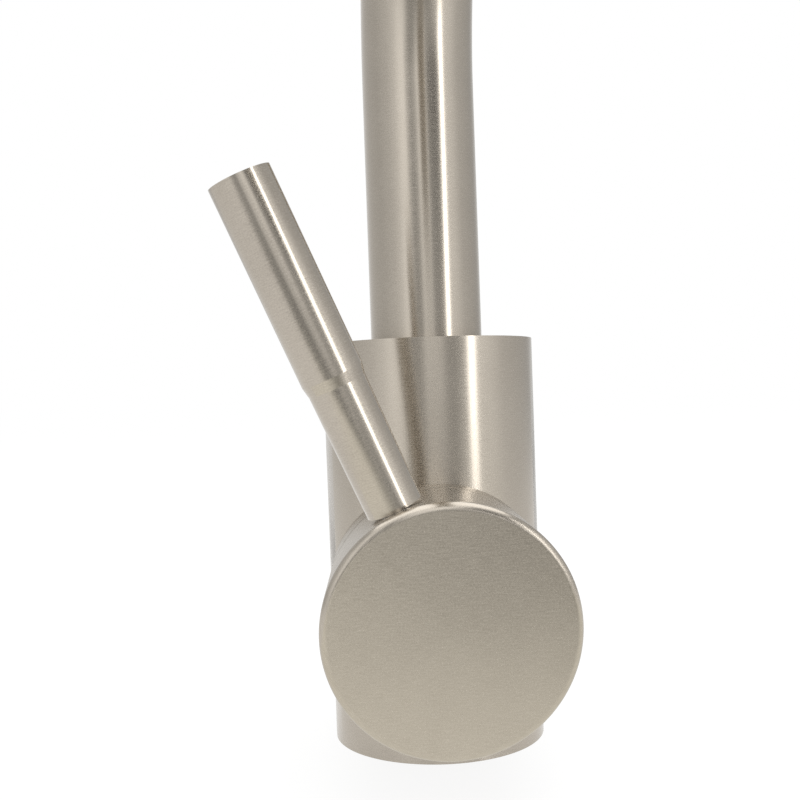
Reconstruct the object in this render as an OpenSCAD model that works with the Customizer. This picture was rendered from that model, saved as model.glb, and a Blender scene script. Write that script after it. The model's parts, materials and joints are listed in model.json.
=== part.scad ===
// Single-lever gooseneck bar faucet. Millimetres, +Z up.
// The origin is the centre of the column's foot, on the deck. The barrel and the lever face -Y.

/* [Column] */
// How far the column stands out beside the barrel
column_step = 0.5; // [0.5:0.1:2]
// Wall of the column and the barrel
shell_wall = 3; // [2:0.25:4]
// Thickness of the plate that closes the column round the spout
top_plate = 3; // [2:0.5:4]
// Rounding of the column's top edge
top_edge_r = 0.8; // [0.4:0.2:1.6]
// Height of the block that closes the foot and takes the hoses
inlet_h = 12; // [10:0.5:20]
// Length of the spout's socket, which fills the column above the barrel
socket_len = 31; // [28:1:60]

/* [Barrel] */
// Height of the cartridge's chamber above the inlet block
chamber_rise = 2.6; // [0.6:0.2:20]
// Distance from the column's axis to the barrel's end
barrel_len = 31; // [30:0.5:36]

/* [Handle] */
// Length of the hub from its seam to the middle of its face
hub_len = 26.5; // [24:0.5:32]
// Slant of the hub's face, and lean of the lever, in degrees
hub_slant = 6; // [0:1:10]
// Rounding of the rim of the hub's face
hub_edge_r = 1.4; // [0.6:0.2:2]
// Turn of the lever to the left of upright, in degrees
lever_turn = 23; // [-45:1:45]
// Distance of the lever's axis behind the hub's face
lever_back = 8.3; // [7.5:0.1:9]
// Diameter of the lever's slim shank
shank_d = 10.9; // [9:0.1:11.5]
// Diameter of the lever's thicker grip
grip_d = 11.7; // [11.6:0.1:14]
// Distance from the hub's axis to the lever's tip
lever_len = 89; // [75:1:110]
// Distance from the hub's axis to the shoulder below the grip
shoulder_at = 48.5; // [44:0.5:60]
// Length of the shoulder's taper
shoulder_len = 2; // [1:0.5:6]
// Opening tilt of the handle, in degrees
open_tilt = 20; // [12:1:20]

/* [Cartridge] */
// Outer diameter of the ceramic cartridge, which sets the barrel and column round it
cartridge_d = 35; // [32:0.5:40]
// Wall of the chamber that holds the cartridge
chamber_wall = 2.8; // [2:0.1:4]
// Wall round the discs in the cartridge
cavity_wall = 3; // [2.5:0.1:3.5]
// Step from the cartridge's body in to its neck
neck_step = 4.2; // [3.8:0.1:4.6]
// Wall of the neck round the turning part
neck_wall = 2.8; // [2:0.1:3.2]
// Side of the square stem
stem_w = 8; // [7:0.5:8.5]
// Diameter of the cross pin on which the stem tilts
pin_d = 3; // [2:0.5:3]
// Length of the stem's lower arm, from the cross pin to its ball
stem_arm = 11; // [10:0.5:12]
// Distance of the middle of the water ports inside the cavity's wall
port_inset = 6; // [5:0.1:7]

/* [Spout] */
// Outer diameter of the spout tube
tube_d = 25.4; // [22:0.2:28]
// Wall of the spout tube
tube_wall = 1.2; // [1:0.1:1.5]
// Length of the upright tube between the column and the bend
riser_len = 57; // [50:1:140]
// Radius of the gooseneck, to the middle of the tube
bend_r = 62; // [55:1:90]
// Length of the straight end above the outlet
outlet_leg = 10; // [9:0.5:20]
// Turn of the spout from straight ahead towards +X, in degrees
spout_turn = 5; // [0:1:20]

/* [Mounting] */
// Wall diameter of the M10 x 1 hose ports
hose_port_d = 9; // [8.5:0.1:9]
// Wall diameter of the M8 hole for the fixing stud
stud_hole_d = 6.8; // [6:0.1:7]
// Depth of both
port_depth = 8; // [6:0.5:8]

/* [Fits] */
// Radial play of a turning or sliding fit
run_fit = 0.06; // [0.03:0.01:0.09]
// Play between parts that are pushed, screwed or brazed together
seat_fit = 0.1; // [0.05:0.05:0.15]
// Free gap beside a moving part
free_gap = 0.4; // [0.3:0.05:0.6]
// Width of the seam between the barrel and the hub
seam_gap = 0.6; // [0.5:0.1:1.5]

/* [Hidden] */
$fn = 96;

STEEL = [0.72, 0.69, 0.65];
BRASS = [0.78, 0.64, 0.36];
COPPER = [0.74, 0.46, 0.33];
CERAMIC = [0.93, 0.92, 0.88];
PLASTIC = [0.90, 0.90, 0.86];
RUBBER = [0.12, 0.12, 0.12];
FAR = 200;                                        // reach of a cutter that passes the whole part
EPS = 0.01;                                       // overlap of a cutter past the face that it opens

// Column and barrel, from the cartridge outwards and from the foot up
cartridge_r = cartridge_d / 2;
chamber_bore_r = cartridge_r + seat_fit;
chamber_r = chamber_bore_r + chamber_wall;
barrel_bore_r = chamber_r + seat_fit;
barrel_r = barrel_bore_r + shell_wall;
column_r = barrel_r + column_step;
column_bore_r = column_r - shell_wall;
barrel_z = inlet_h + chamber_rise + chamber_r;
socket_gap = 0.6;                                 // between the chamber and the spout's socket
socket_z = barrel_z + chamber_r + socket_gap;
socket_top = socket_z + socket_len;
column_h = socket_top + top_plate;
gasket_inset = 0.75;                              // rim of the column on each side of the gasket's groove
gasket_h = 1.6;

// Handle and the sphere on which it tilts; s runs out along the barrel's axis
pin_back = 3;                                     // cross pin behind the barrel's end
pin_s = barrel_len - pin_back;
seam_s = barrel_len + seam_gap;
face_s = seam_s + hub_len;
hub_wall = 2.1;
rim_turn = 75;                                    // the rim's rounding stops this far round
rim_steps = 5;
hub_bore_r = barrel_r - hub_wall;
dome_gap = 0.6;
dome_r = hub_bore_r - dome_gap;
dome_wall = 1.4;
dome_hole_r = dome_r * sin(open_tilt) + stem_w / sqrt(2) + free_gap;
lever_s = face_s - lever_back / cos(hub_slant);
lever_foot = (barrel_r + shank_d / 2 * sin(hub_slant)) / cos(hub_slant);
lever_end_r = 0.5;
stud_r = 3;
stud_wall = 1.5;                                  // metal between the stud's inner end and the hub's cavity
stud_inner = sqrt(pow(hub_bore_r + stud_wall, 2) - pow(lever_s - pin_s - stud_r, 2));
stud_reach = 10;                                  // length of the stud inside the lever
grub_r = 2;
grub_len = 9;
grub_socket_d = 2.3;
grub_socket_depth = 3;
grub_wall = 0.25;                                 // metal between the screw's hole and the hub's cavity
grub_s = pin_s + hub_bore_r + grub_wall + grub_r + seat_fit;
plug_r = 2.4;
plug_h = 2.4;
plug_drop = 0.3;                                  // the plug lies this far below the hub's surface
face_wall = 3;                                    // metal between the stem's end and the hub's face

// Cartridge stack, from the ball of the stem back to the chamber's floor
ball_s = pin_s - stem_arm;
ball_r = 2.4;
ball_drop = 0.3;                                  // below the ball in its socket
arm_r = 1.7;
carrier_base = 8.2;                               // carrier below its socket
carrier_h = 3;
carrier_s = ball_s - ball_r - ball_drop - carrier_base;
moving_disc_h = 3;
moving_disc_s = carrier_s - moving_disc_h;
disc_h = 4;
base_top_s = moving_disc_s - run_fit - disc_h;
base_h = 3.74;
floor_s = base_top_s - base_h;
chamber_floor = 3.3;
chamber_back_s = floor_s - chamber_floor;
chamber_back_r = sqrt(pow(column_bore_r, 2) - pow(chamber_back_s, 2)) - 2 * seat_fit;
chamber_wide_s = -sqrt(pow(column_bore_r - 2 * seat_fit, 2) - pow(chamber_r, 2));
mouth_back = 2;                                   // chamber's mouth behind the barrel's end
chamber_mouth_s = barrel_len - mouth_back;

// Cartridge, inside its housing
cavity_r = cartridge_r - cavity_wall;
neck_r = cartridge_r - neck_step;
rotor_bore_r = neck_r - neck_wall + run_fit;
rotor_r = rotor_bore_r - run_fit;
rotor_lift = 0.2;                                 // rotor above the carrier
rotor_foot_s = carrier_s + carrier_h + rotor_lift;
rotor_flange_h = 2.7;
cavity_top_s = rotor_foot_s + rotor_flange_h + seat_fit;
shoulder_back = 6;                                // housing's shoulder behind the cross pin
shoulder_s = pin_s - shoulder_back;
neck_over = 5.5;                                  // neck past the cross pin
neck_top_s = pin_s + neck_over;
pin_r = pin_d / 2;
pin_short = 0.5;                                  // pin's end inside the rotor's rim
stem_h = stem_w / 2;
stem_flat = 0.8;                                  // stem's depth at its knuckle, against its width
knuckle = 4;                                      // the stem's thick middle reaches this far each way
slot_x = stem_h + 0.3;                            // half width of the rotor's slot along the cross pin
travel = stem_arm * open_tilt * PI / 180;         // slide of the disc as the handle opens
disc_room = 1.58;                                 // round the moving disc at the ends of its slide
moving_disc_r = cavity_r - travel / 2 - disc_room;
ball_room = 0.35;                                 // beside the ball in its socket
boss_wall = 0.85;
socket_h = ball_r + ball_room;                    // half width of the carrier's socket
boss_h = socket_h + boss_wall;
slot_low = (stem_h + neck_over * sin(open_tilt)) / cos(open_tilt) + free_gap;
slot_high = boss_h + travel + free_gap;
nut_step = 1;                                     // nut past the cartridge, into the chamber's wall
nut_r = chamber_bore_r + nut_step;
nut_gap = 0.3;                                    // nut round the neck
nut_slots = 6;
nut_slot_w = 3;
nut_slot_h = 2;
nut_slot_in = 1.5;                                // slots begin this far out from the neck
port_r = 2.6;
port_circle_r = cavity_r - port_inset;
port_lap = 1;                                     // the moving disc's hollow past the ports' inner edge
HOT = 210;                                        // places of the ports round the barrel's axis
COLD = 330;
MIXED = 90;
seal_w = 1.2;
seal_h = 1.6;

// Waterways behind the chamber
pipe_r = 4;
pipe_bore_r = 3;
pipe_gap = 0.5;                                   // between a pipe and the chamber's back
pipe_y = pipe_r + pipe_gap - chamber_back_s;
braze = 1.5;                                      // depth of a pipe's end in its seat
inlet_x = port_circle_r * cos(COLD);
inlet_z = barrel_z + port_circle_r * sin(COLD);
outlet_z = barrel_z + port_circle_r;
stud_y = -12;

// Spout bearing, measured down from the column's top plate
tube_r = tube_d / 2;
tube_bore_r = tube_r - tube_wall;
socket_floor = 2;
socket_r = column_bore_r - 2 * seat_fit;
gallery_h = 3;
gallery_rim = 0.6;                                // gallery past the pipe that feeds it
gallery_r = pipe_y + pipe_r + gallery_rim;
spigot_bore_r = 10;
ring_wall = 1.9;                                  // glide ring and its play round the tube
bearing_r = tube_r + ring_wall;
bearing_depth = 15;
bearing_z = socket_top - bearing_depth;
glide_h = 1;
glide_play = 0.2;                                 // lower glide ring round the spigot's bore
flange_z = bearing_z + glide_h + run_fit;
flange_h = 3;
tube_z = flange_z + flange_h;
sleeve_len = 10;
spigot_len = 10;
spigot_r = spigot_bore_r - free_gap;
spigot_hole_r = 6;
ring_r = 1.2;
ring_seat_r = spigot_bore_r - run_fit - 2 * ring_r;
ring_drops = [3.5, 7.5];                          // seal rings, down from the flange
screw_r = 2;
screw_lift = 0.3;                                 // screw above the flange
screw_z = tube_z + screw_r + screw_lift;
screw_tip_y = tube_r + free_gap;
screw_sunk = 2;                                   // screw's end inside the column's surface
screw_tail_y = column_r - screw_sunk;
upper_ring_h = 5;
upper_ring_drop = 0.5;
upper_ring_z = socket_top - upper_ring_h - upper_ring_drop;

// Outlet
bend_z = column_h + riser_len;
outlet_end = bend_z - outlet_leg;
bush_r = tube_bore_r - seat_fit;
bush_wall = 1.2;
bush_short = 1;                                   // bush shorter than the tube's straight end
bush_len = outlet_leg - bush_short;
nozzle_r = bush_r - bush_wall - seat_fit;
nozzle_wall = 1.3;
nozzle_lip = 1;                                   // rim that holds the insert, each way
nozzle_short = 3;
nozzle_len = outlet_leg - nozzle_short;
nozzle_in = 0.4;                                  // the nozzle sits this far inside the tube's end
insert_r = nozzle_r - nozzle_wall - seat_fit;
key_slots = 4;                                    // for the key that unscrews the nozzle
key_w = 3;
key_depth = 1.2;
cell_w = 2.2;                                     // side of a cell of the flow straightener
cell_pitch = 2.8;
cell_count = 2;                                   // cells each way from the middle one
screen_h = 0.6;
screen_hole_r = 0.9;
screen_rings = 2;
washer_h = 1.2;
washer_bore_r = 6;

// Local z runs out along the barrel, local y is up.
module barrel_frame() { translate([0, 0, barrel_z]) rotate([90, 0, 0]) children(); }

// As barrel_frame, with local y towards the lever.
module lever_frame() { barrel_frame() rotate([0, 0, lever_turn]) children(); }

// Local z runs along the lever, from the hub's axis.
module lever_axis() { lever_frame() translate([0, 0, lever_s]) rotate([hub_slant - 90, 0, 0]) children(); }

// Local y runs away from the outlet.
module spout_frame() { rotate([0, 0, spout_turn]) children(); }

module ring(outer, inner, h) {
    difference() {
        cylinder(r = outer, h = h);
        translate([0, 0, -EPS]) cylinder(r = inner, h = h + 2 * EPS);
    }
}

// Half profile of a disc whose upper corner is rounded.
module rounded_profile(r, h, edge) {
    square([r - edge, h]);
    square([r, h - edge]);
    translate([r - edge, h - edge]) circle(edge, $fn = 48);
}

// Half profile of the hub's face and rounded rim, widening behind the rim so that it cuts nothing there.
module face_profile() {
    flat_r = barrel_r - hub_edge_r;
    rim = [for (k = [0 : rim_steps]) let (a = k * rim_turn / rim_steps)
        [flat_r + hub_edge_r * sin(a), hub_edge_r * (cos(a) - 1)]];
    back = rim[rim_steps] + FAR * [cos(rim_turn), -sin(rim_turn)];
    polygon(concat([[0, back.y], [0, 0]], rim, [back]));
}

module at_ports(angles = [HOT, COLD, MIXED]) {
    for (a = angles) rotate([0, 0, a]) translate([port_circle_r, 0, 0]) children();
}

// Screw without a head, its hexagon socket at local z = length.
module grub_screw(r, len, socket_d, depth) {
    difference() {
        cylinder(r = r, h = len);
        translate([0, 0, len - depth]) cylinder(d = socket_d, h = depth + EPS, $fn = 6);
    }
}

// ---- Column and barrel ----

module body_shell() color(STEEL) difference() {
    union() {
        rotate_extrude() rounded_profile(column_r, column_h, top_edge_r);
        barrel_frame() cylinder(r = barrel_r, h = barrel_len);
    }
    translate([0, 0, -EPS]) cylinder(r = column_bore_r, h = socket_top + EPS);
    cylinder(r = tube_r + free_gap, h = column_h + EPS);
    barrel_frame() cylinder(r = barrel_bore_r, h = barrel_len + EPS);
    translate([0, 0, -EPS]) ring(column_r - gasket_inset, column_bore_r + gasket_inset, gasket_h + EPS);
    translate([0, 0, screw_z]) rotate([-90, 0, 0]) cylinder(r = screw_r + seat_fit, h = column_r + EPS);
}

module base_gasket() color(RUBBER)
    ring(column_r - gasket_inset - seat_fit, column_bore_r + gasket_inset + seat_fit, gasket_h);

module inlet_block() color(BRASS) difference() {
    cylinder(r = socket_r, h = inlet_h);
    for (side = [-1, 1]) translate([side * inlet_x, pipe_y, -EPS]) {
        cylinder(r = hose_port_d / 2, h = port_depth + EPS);
        cylinder(r = pipe_bore_r, h = inlet_h);
        translate([0, 0, inlet_h - braze + EPS]) cylinder(r = pipe_r + seat_fit, h = braze + EPS);
    }
    translate([0, stud_y, -EPS]) cylinder(r = stud_hole_d / 2, h = port_depth + EPS);
}

// ---- Waterways ----

// Solid of a bent pipe: upright from z_from to the elbow, then level into the chamber's back wall.
module pipe_form(r, x, z_from, z_elbow, over) {
    run = abs(z_elbow - z_from) + over;
    translate([x, pipe_y, z_elbow]) {
        sphere(r = r);
        rotate([z_from > z_elbow ? 0 : 180, 0, 0]) cylinder(r = r, h = run);
        rotate([90, 0, 0]) cylinder(r = r, h = pipe_y + chamber_back_s + braze + over);
    }
}

module waterway(x, z_from, z_elbow) color(COPPER) difference() {
    pipe_form(pipe_r, x, z_from, z_elbow, 0);
    pipe_form(pipe_bore_r, x, z_from, z_elbow, EPS);
}

module hot_waterway() waterway(-inlet_x, inlet_h - braze, inlet_z);
module cold_waterway() waterway(inlet_x, inlet_h - braze, inlet_z);
module mixed_waterway() waterway(0, socket_z + braze, outlet_z);

module valve_chamber() color(BRASS) barrel_frame() difference() {
    union() {
        translate([0, 0, chamber_back_s])
            cylinder(r = chamber_back_r, h = chamber_wide_s - chamber_back_s + EPS);
        translate([0, 0, chamber_wide_s]) cylinder(r = chamber_r, h = chamber_mouth_s - chamber_wide_s);
    }
    translate([0, 0, floor_s]) cylinder(r = chamber_bore_r, h = FAR);
    translate([0, 0, shoulder_s]) cylinder(r = nut_r + seat_fit, h = FAR);
    translate([0, 0, chamber_back_s - EPS]) at_ports() {
        cylinder(r = pipe_bore_r, h = chamber_floor + 2 * EPS);
        cylinder(r = pipe_r + seat_fit, h = braze + EPS);
    }
}

// ---- Spout bearing ----

module spout_socket() color(BRASS) difference() {
    translate([0, 0, socket_z]) cylinder(r = socket_r, h = socket_len);
    translate([0, 0, bearing_z]) cylinder(r = bearing_r, h = FAR);
    translate([0, 0, socket_z + socket_floor]) cylinder(r = spigot_bore_r, h = FAR);
    translate([0, 0, socket_z + socket_floor]) cylinder(r = gallery_r, h = gallery_h);
    translate([0, pipe_y, socket_z - EPS]) {
        cylinder(r = pipe_r + seat_fit, h = braze + EPS);
        cylinder(r = pipe_bore_r, h = socket_floor + 2 * EPS);
    }
    translate([0, 0, screw_z]) rotate([-90, 0, 0]) cylinder(r = screw_r + seat_fit, h = column_r);
}

module spout_set_screw() color(STEEL) translate([0, screw_tip_y, screw_z]) rotate([-90, 0, 0])
    grub_screw(screw_r, screw_tail_y - screw_tip_y, grub_socket_d, grub_socket_depth);

module upper_glide_ring() color(PLASTIC) translate([0, 0, upper_ring_z])
    ring(bearing_r - seat_fit, tube_r + run_fit, upper_ring_h);

module lower_glide_ring() color(PLASTIC) translate([0, 0, bearing_z])
    ring(bearing_r - seat_fit, spigot_bore_r + glide_play, glide_h);

// ---- Cartridge, fixed parts ----

module cartridge_base() color(PLASTIC) barrel_frame() difference() {
    translate([0, 0, floor_s]) cylinder(r = cartridge_r, h = base_h);
    translate([0, 0, floor_s - EPS]) at_ports() {
        cylinder(r = port_r, h = base_h + 2 * EPS);
        cylinder(r = port_r + seal_w + seat_fit, h = seal_h + EPS);
    }
}

module port_seals() color(RUBBER) barrel_frame() translate([0, 0, floor_s]) at_ports()
    ring(port_r + seal_w, port_r, seal_h);

module cartridge_housing() color(PLASTIC) barrel_frame() difference() {
    union() {
        translate([0, 0, base_top_s]) cylinder(r = cartridge_r, h = shoulder_s - base_top_s);
        translate([0, 0, base_top_s]) cylinder(r = neck_r, h = neck_top_s - base_top_s);
    }
    translate([0, 0, base_top_s - EPS]) cylinder(r = cavity_r, h = cavity_top_s - base_top_s + EPS);
    translate([0, 0, base_top_s]) cylinder(r = rotor_bore_r, h = FAR);
}

module fixed_ceramic_disc() color(CERAMIC) barrel_frame() translate([0, 0, base_top_s]) difference() {
    cylinder(r = cavity_r - seat_fit, h = disc_h);
    translate([0, 0, -EPS]) at_ports() cylinder(r = port_r, h = disc_h + 2 * EPS);
}

module bonnet_nut() color(BRASS) barrel_frame() translate([0, 0, shoulder_s]) difference() {
    ring(nut_r, neck_r + nut_gap, chamber_mouth_s - shoulder_s);
    for (k = [0 : nut_slots - 1]) rotate([0, 0, k * 360 / nut_slots])
        translate([neck_r + nut_slot_in, -nut_slot_w / 2, chamber_mouth_s - shoulder_s - nut_slot_h])
            cube([nut_r, nut_slot_w, nut_slot_h + EPS]);
}

module dome_cover() color(STEEL) barrel_frame() difference() {
    intersection() {
        translate([0, 0, pin_s]) sphere(r = dome_r);
        translate([0, 0, chamber_mouth_s]) cylinder(r = barrel_bore_r - seat_fit, h = FAR);
    }
    translate([0, 0, pin_s]) sphere(r = dome_r - dome_wall);
    cylinder(r = dome_hole_r, h = FAR);
}

// ---- Cartridge, turning parts ----

module cartridge_rotor() color(PLASTIC) lever_frame() difference() {
    union() {
        translate([0, 0, rotor_foot_s]) cylinder(r = cavity_r - free_gap, h = rotor_flange_h);
        translate([0, 0, rotor_foot_s]) cylinder(r = rotor_r, h = neck_top_s - rotor_foot_s);
    }
    translate([-slot_x, -slot_low, rotor_foot_s - EPS]) cube([2 * slot_x, slot_low + slot_high, FAR]);
    translate([0, 0, pin_s]) rotate([0, 90, 0]) cylinder(r = pin_r, h = FAR, center = true);
}

module stem_pin() color(STEEL) lever_frame() translate([0, 0, pin_s]) rotate([0, 90, 0])
    cylinder(r = pin_r, h = 2 * (rotor_r - pin_short), center = true);

// The carrier's socket holds the stem's ball. Closed, the disc lies half its travel below the axis.
module disc_carrier() color(PLASTIC) lever_frame() difference() {
    union() {
        translate([0, -travel / 2, carrier_s]) cylinder(r = moving_disc_r, h = carrier_h);
        translate([-boss_h, -boss_h, carrier_s + carrier_h - EPS])
            cube([2 * boss_h, 2 * boss_h, ball_s + ball_r - carrier_s - carrier_h]);
    }
    translate([-socket_h, -socket_h, ball_s - ball_r - ball_drop]) cube([2 * socket_h, 2 * socket_h, FAR]);
}

module moving_ceramic_disc() color(CERAMIC) lever_frame()
    translate([0, -travel / 2, moving_disc_s]) difference() {
        cylinder(r = moving_disc_r, h = moving_disc_h);
        translate([0, 0, -EPS]) cylinder(r = port_circle_r - port_r + port_lap, h = moving_disc_h / 2);
    }

// ---- Handle ----

module stem() color(STEEL) lever_frame() difference() {
    union() {
        translate([0, 0, ball_s]) sphere(r = ball_r);
        translate([0, 0, ball_s]) cylinder(r = arm_r, h = stem_arm - knuckle + EPS);
        translate([-stem_h, -stem_h * stem_flat, pin_s - knuckle])
            cube([stem_w, stem_w * stem_flat, 2 * knuckle]);
        translate([-stem_h, -stem_h, pin_s + knuckle])
            cube([stem_w, stem_w, face_s - face_wall - pin_s - knuckle]);
    }
    translate([0, 0, pin_s]) rotate([0, 90, 0]) cylinder(r = pin_r + run_fit, h = FAR, center = true);
}

// A cylinder in line with the barrel. Its face is slanted, and the half away from the lever is cut
// back so that it closes on the barrel when the handle is fully open.
module hub() color(STEEL) lever_frame() difference() {
    intersection() {
        translate([0, 0, seam_s]) cylinder(r = barrel_r, h = FAR);
        translate([0, 0, face_s]) rotate([hub_slant, 0, 0]) rotate_extrude() face_profile();
    }
    translate([0, 0, pin_s]) sphere(r = hub_bore_r);
    translate([0, 0, pin_s]) rotate([-open_tilt, 0, 0]) translate([0, 0, seam_s - pin_s - FAR])
        cylinder(r = FAR, h = FAR);
    translate([-stem_h - seat_fit, -stem_h - seat_fit, pin_s])
        cube([stem_w + 2 * seat_fit, stem_w + 2 * seat_fit, face_s - face_wall - pin_s]);
    translate([0, 0, lever_s]) rotate([hub_slant - 90, 0, 0]) translate([0, 0, stud_inner])
        cylinder(r = stud_r + seat_fit, h = FAR);
    translate([0, 0, grub_s]) rotate([90, 0, 0]) {
        cylinder(r = grub_r + seat_fit, h = FAR);
        translate([0, 0, barrel_r - plug_h - plug_drop]) cylinder(r = plug_r + seat_fit, h = FAR);
    }
}

module hub_set_screw() color(STEEL) lever_frame() translate([0, -stem_h, grub_s]) rotate([90, 0, 0])
    grub_screw(grub_r, grub_len, grub_socket_d, grub_socket_depth);

module index_plug() color(PLASTIC) lever_frame() translate([0, 0, grub_s]) rotate([90, 0, 0])
    translate([0, 0, barrel_r - plug_h - plug_drop]) cylinder(r = plug_r, h = plug_h);

module lever_stud() color(STEEL) lever_axis() translate([0, 0, stud_inner])
    cylinder(r = stud_r, h = lever_foot + stud_reach - stud_inner);

module lever_rod() color(STEEL) lever_axis() difference() {
    union() {
        translate([0, 0, lever_foot]) cylinder(d = shank_d, h = shoulder_at - lever_foot);
        translate([0, 0, shoulder_at]) cylinder(d1 = shank_d, d2 = grip_d, h = shoulder_len);
        translate([0, 0, shoulder_at + shoulder_len])
            rotate_extrude() rounded_profile(grip_d / 2, lever_len - shoulder_at - shoulder_len, lever_end_r);
    }
    translate([0, 0, lever_foot - EPS]) cylinder(r = stud_r + seat_fit, h = stud_reach + EPS);
}

// ---- Spout ----

// Solid of the spout's path: riser, half circle and outlet leg.
module gooseneck_form(r, over) {
    translate([0, 0, tube_z - over]) cylinder(r = r, h = bend_z - tube_z + over);
    translate([0, -bend_r, bend_z]) rotate([90, 0, 90]) rotate_extrude(angle = 180)
        translate([bend_r, 0]) circle(r);
    translate([0, -2 * bend_r, outlet_end - over]) cylinder(r = r, h = outlet_leg + over);
}

module spout_tube() color(STEEL) spout_frame() difference() {
    gooseneck_form(tube_r, 0);
    gooseneck_form(tube_bore_r, EPS);
}

module spout_insert() color(BRASS) difference() {
    union() {
        translate([0, 0, flange_z - spigot_len]) cylinder(r = spigot_r, h = spigot_len + EPS);
        translate([0, 0, flange_z]) cylinder(r = bearing_r - free_gap, h = flange_h);
        translate([0, 0, tube_z - EPS]) cylinder(r = bush_r, h = sleeve_len);
    }
    translate([0, 0, flange_z - spigot_len - EPS]) cylinder(r = spigot_hole_r, h = FAR);
    for (drop = ring_drops) translate([0, 0, flange_z - drop - ring_r - seat_fit])
        ring(spigot_r + 1, ring_seat_r - seat_fit, 2 * (ring_r + seat_fit));
}

module spout_o_rings() color(RUBBER) for (drop = ring_drops) translate([0, 0, flange_z - drop])
    rotate_extrude() translate([ring_seat_r + ring_r, 0]) circle(ring_r, $fn = 48);

module at_outlet(up = 0) { spout_frame() translate([0, -2 * bend_r, outlet_end + up]) children(); }

module outlet_bush() color(BRASS) at_outlet(outlet_leg - bush_len)
    ring(bush_r, bush_r - bush_wall, bush_len);

module aerator_housing() color(STEEL) at_outlet(nozzle_in) difference() {
    cylinder(r = nozzle_r, h = nozzle_len);
    translate([0, 0, nozzle_lip]) cylinder(r = nozzle_r - nozzle_wall, h = nozzle_len);
    translate([0, 0, -EPS]) cylinder(r = nozzle_r - nozzle_wall - nozzle_lip, h = nozzle_len);
    for (k = [0 : key_slots - 1]) rotate([0, 0, (k + 0.5) * 360 / key_slots])
        translate([nozzle_r - key_depth, -key_w / 2, -EPS]) cube([nozzle_r, key_w, nozzle_lip]);
}

module aerator_insert() color(PLASTIC) at_outlet(nozzle_in + nozzle_lip) difference() {
    cylinder(r = insert_r, h = nozzle_len - nozzle_lip - screen_h);
    for (i = [-cell_count : cell_count], j = [-cell_count : cell_count])
        if (norm([i, j]) * cell_pitch + cell_w < insert_r + seat_fit)
            translate([i * cell_pitch - cell_w / 2, j * cell_pitch - cell_w / 2, -EPS])
                cube([cell_w, cell_w, nozzle_len]);
}

module aerator_screen() color(STEEL) at_outlet(nozzle_in + nozzle_len - screen_h) difference() {
    cylinder(r = insert_r, h = screen_h);
    for (n = [0 : screen_rings], k = [0 : max(0, 6 * n - 1)]) rotate([0, 0, k * 60 / max(1, n)])
        translate([n * cell_pitch, 0, -EPS]) cylinder(r = screen_hole_r, h = screen_h + 2 * EPS, $fn = 24);
}

module aerator_washer() color(RUBBER) at_outlet(nozzle_in + nozzle_len)
    ring(nozzle_r - seat_fit, washer_bore_r, washer_h);

body_shell();
inlet_block();
base_gasket();
hot_waterway();
cold_waterway();
mixed_waterway();
valve_chamber();
spout_socket();
spout_set_screw();
upper_glide_ring();
lower_glide_ring();
cartridge_base();
port_seals();
cartridge_housing();
fixed_ceramic_disc();
bonnet_nut();
dome_cover();
cartridge_rotor();
stem_pin();
disc_carrier();
moving_ceramic_disc();
stem();
hub();
hub_set_screw();
index_plug();
lever_stud();
lever_rod();
spout_tube();
spout_insert();
spout_o_rings();
outlet_bush();
aerator_washer();
aerator_screen();
aerator_insert();
aerator_housing();
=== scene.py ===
"""Looks of a gooseneck bar faucet in brushed stainless steel, in a small photo studio.

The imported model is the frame. The four pieces that show most, which are the body, the hub, the
lever and the spout tube, are surfaces worked out here with soft edges and a brushed finish that
follows each surface. All other nodes keep their own shape and get the finish of their material.
Lengths are metres, in the frame of the part: +Z up, the lever faces -Y.
"""

import json
import math

import bmesh
import bpy
import numpy as np
from mathutils import Matrix, Vector

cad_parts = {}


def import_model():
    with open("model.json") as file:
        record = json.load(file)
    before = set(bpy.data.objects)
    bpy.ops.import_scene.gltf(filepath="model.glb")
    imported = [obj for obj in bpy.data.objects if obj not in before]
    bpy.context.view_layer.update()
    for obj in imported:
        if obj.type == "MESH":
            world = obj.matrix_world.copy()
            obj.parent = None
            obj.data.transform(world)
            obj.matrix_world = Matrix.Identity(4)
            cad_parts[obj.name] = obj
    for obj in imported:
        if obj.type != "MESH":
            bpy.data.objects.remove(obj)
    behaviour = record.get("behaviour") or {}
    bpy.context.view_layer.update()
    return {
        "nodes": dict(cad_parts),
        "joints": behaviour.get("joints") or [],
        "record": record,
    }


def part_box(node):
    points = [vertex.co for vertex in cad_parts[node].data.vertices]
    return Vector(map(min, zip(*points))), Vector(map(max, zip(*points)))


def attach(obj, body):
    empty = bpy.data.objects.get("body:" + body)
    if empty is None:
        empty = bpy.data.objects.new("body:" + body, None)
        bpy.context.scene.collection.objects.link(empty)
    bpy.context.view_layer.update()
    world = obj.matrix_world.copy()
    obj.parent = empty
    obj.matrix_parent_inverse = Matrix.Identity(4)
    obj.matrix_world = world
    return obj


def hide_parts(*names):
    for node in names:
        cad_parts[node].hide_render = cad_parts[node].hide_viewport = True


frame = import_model()

# ---------------------------------------------------------------- sizes

MM = 0.001
TURNS = 256                      # points round a turned piece
TUBE_TURNS = 128                 # round the spout tube
RING_TURNS = 96                  # round a small tool or a screen
ARC_STEPS = 8                    # steps on a softened edge
RISE_RINGS, BEND_STEPS, FALL_RINGS = 12, 96, 4     # along the tube, up, round and down
CAVITY_STEPS = 16                # up the hub's round cavity
FACE_FROM, FACE_STEPS = 0.9, 9   # on the hub's face, from this share of its radius to its middle
SUPPORT = 0.12 * MM              # a line this close to an edge keeps the flat beside it flat
REACH = 3 * MM                   # a cutting tool goes this far past the metal
ONE_POINT, NO_LENGTH = 1e-7, 1e-8    # points closer than this are one, and such edges go
SHARP_FROM = math.radians(28)    # edges at least this steep stay sharp in the shading

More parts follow.
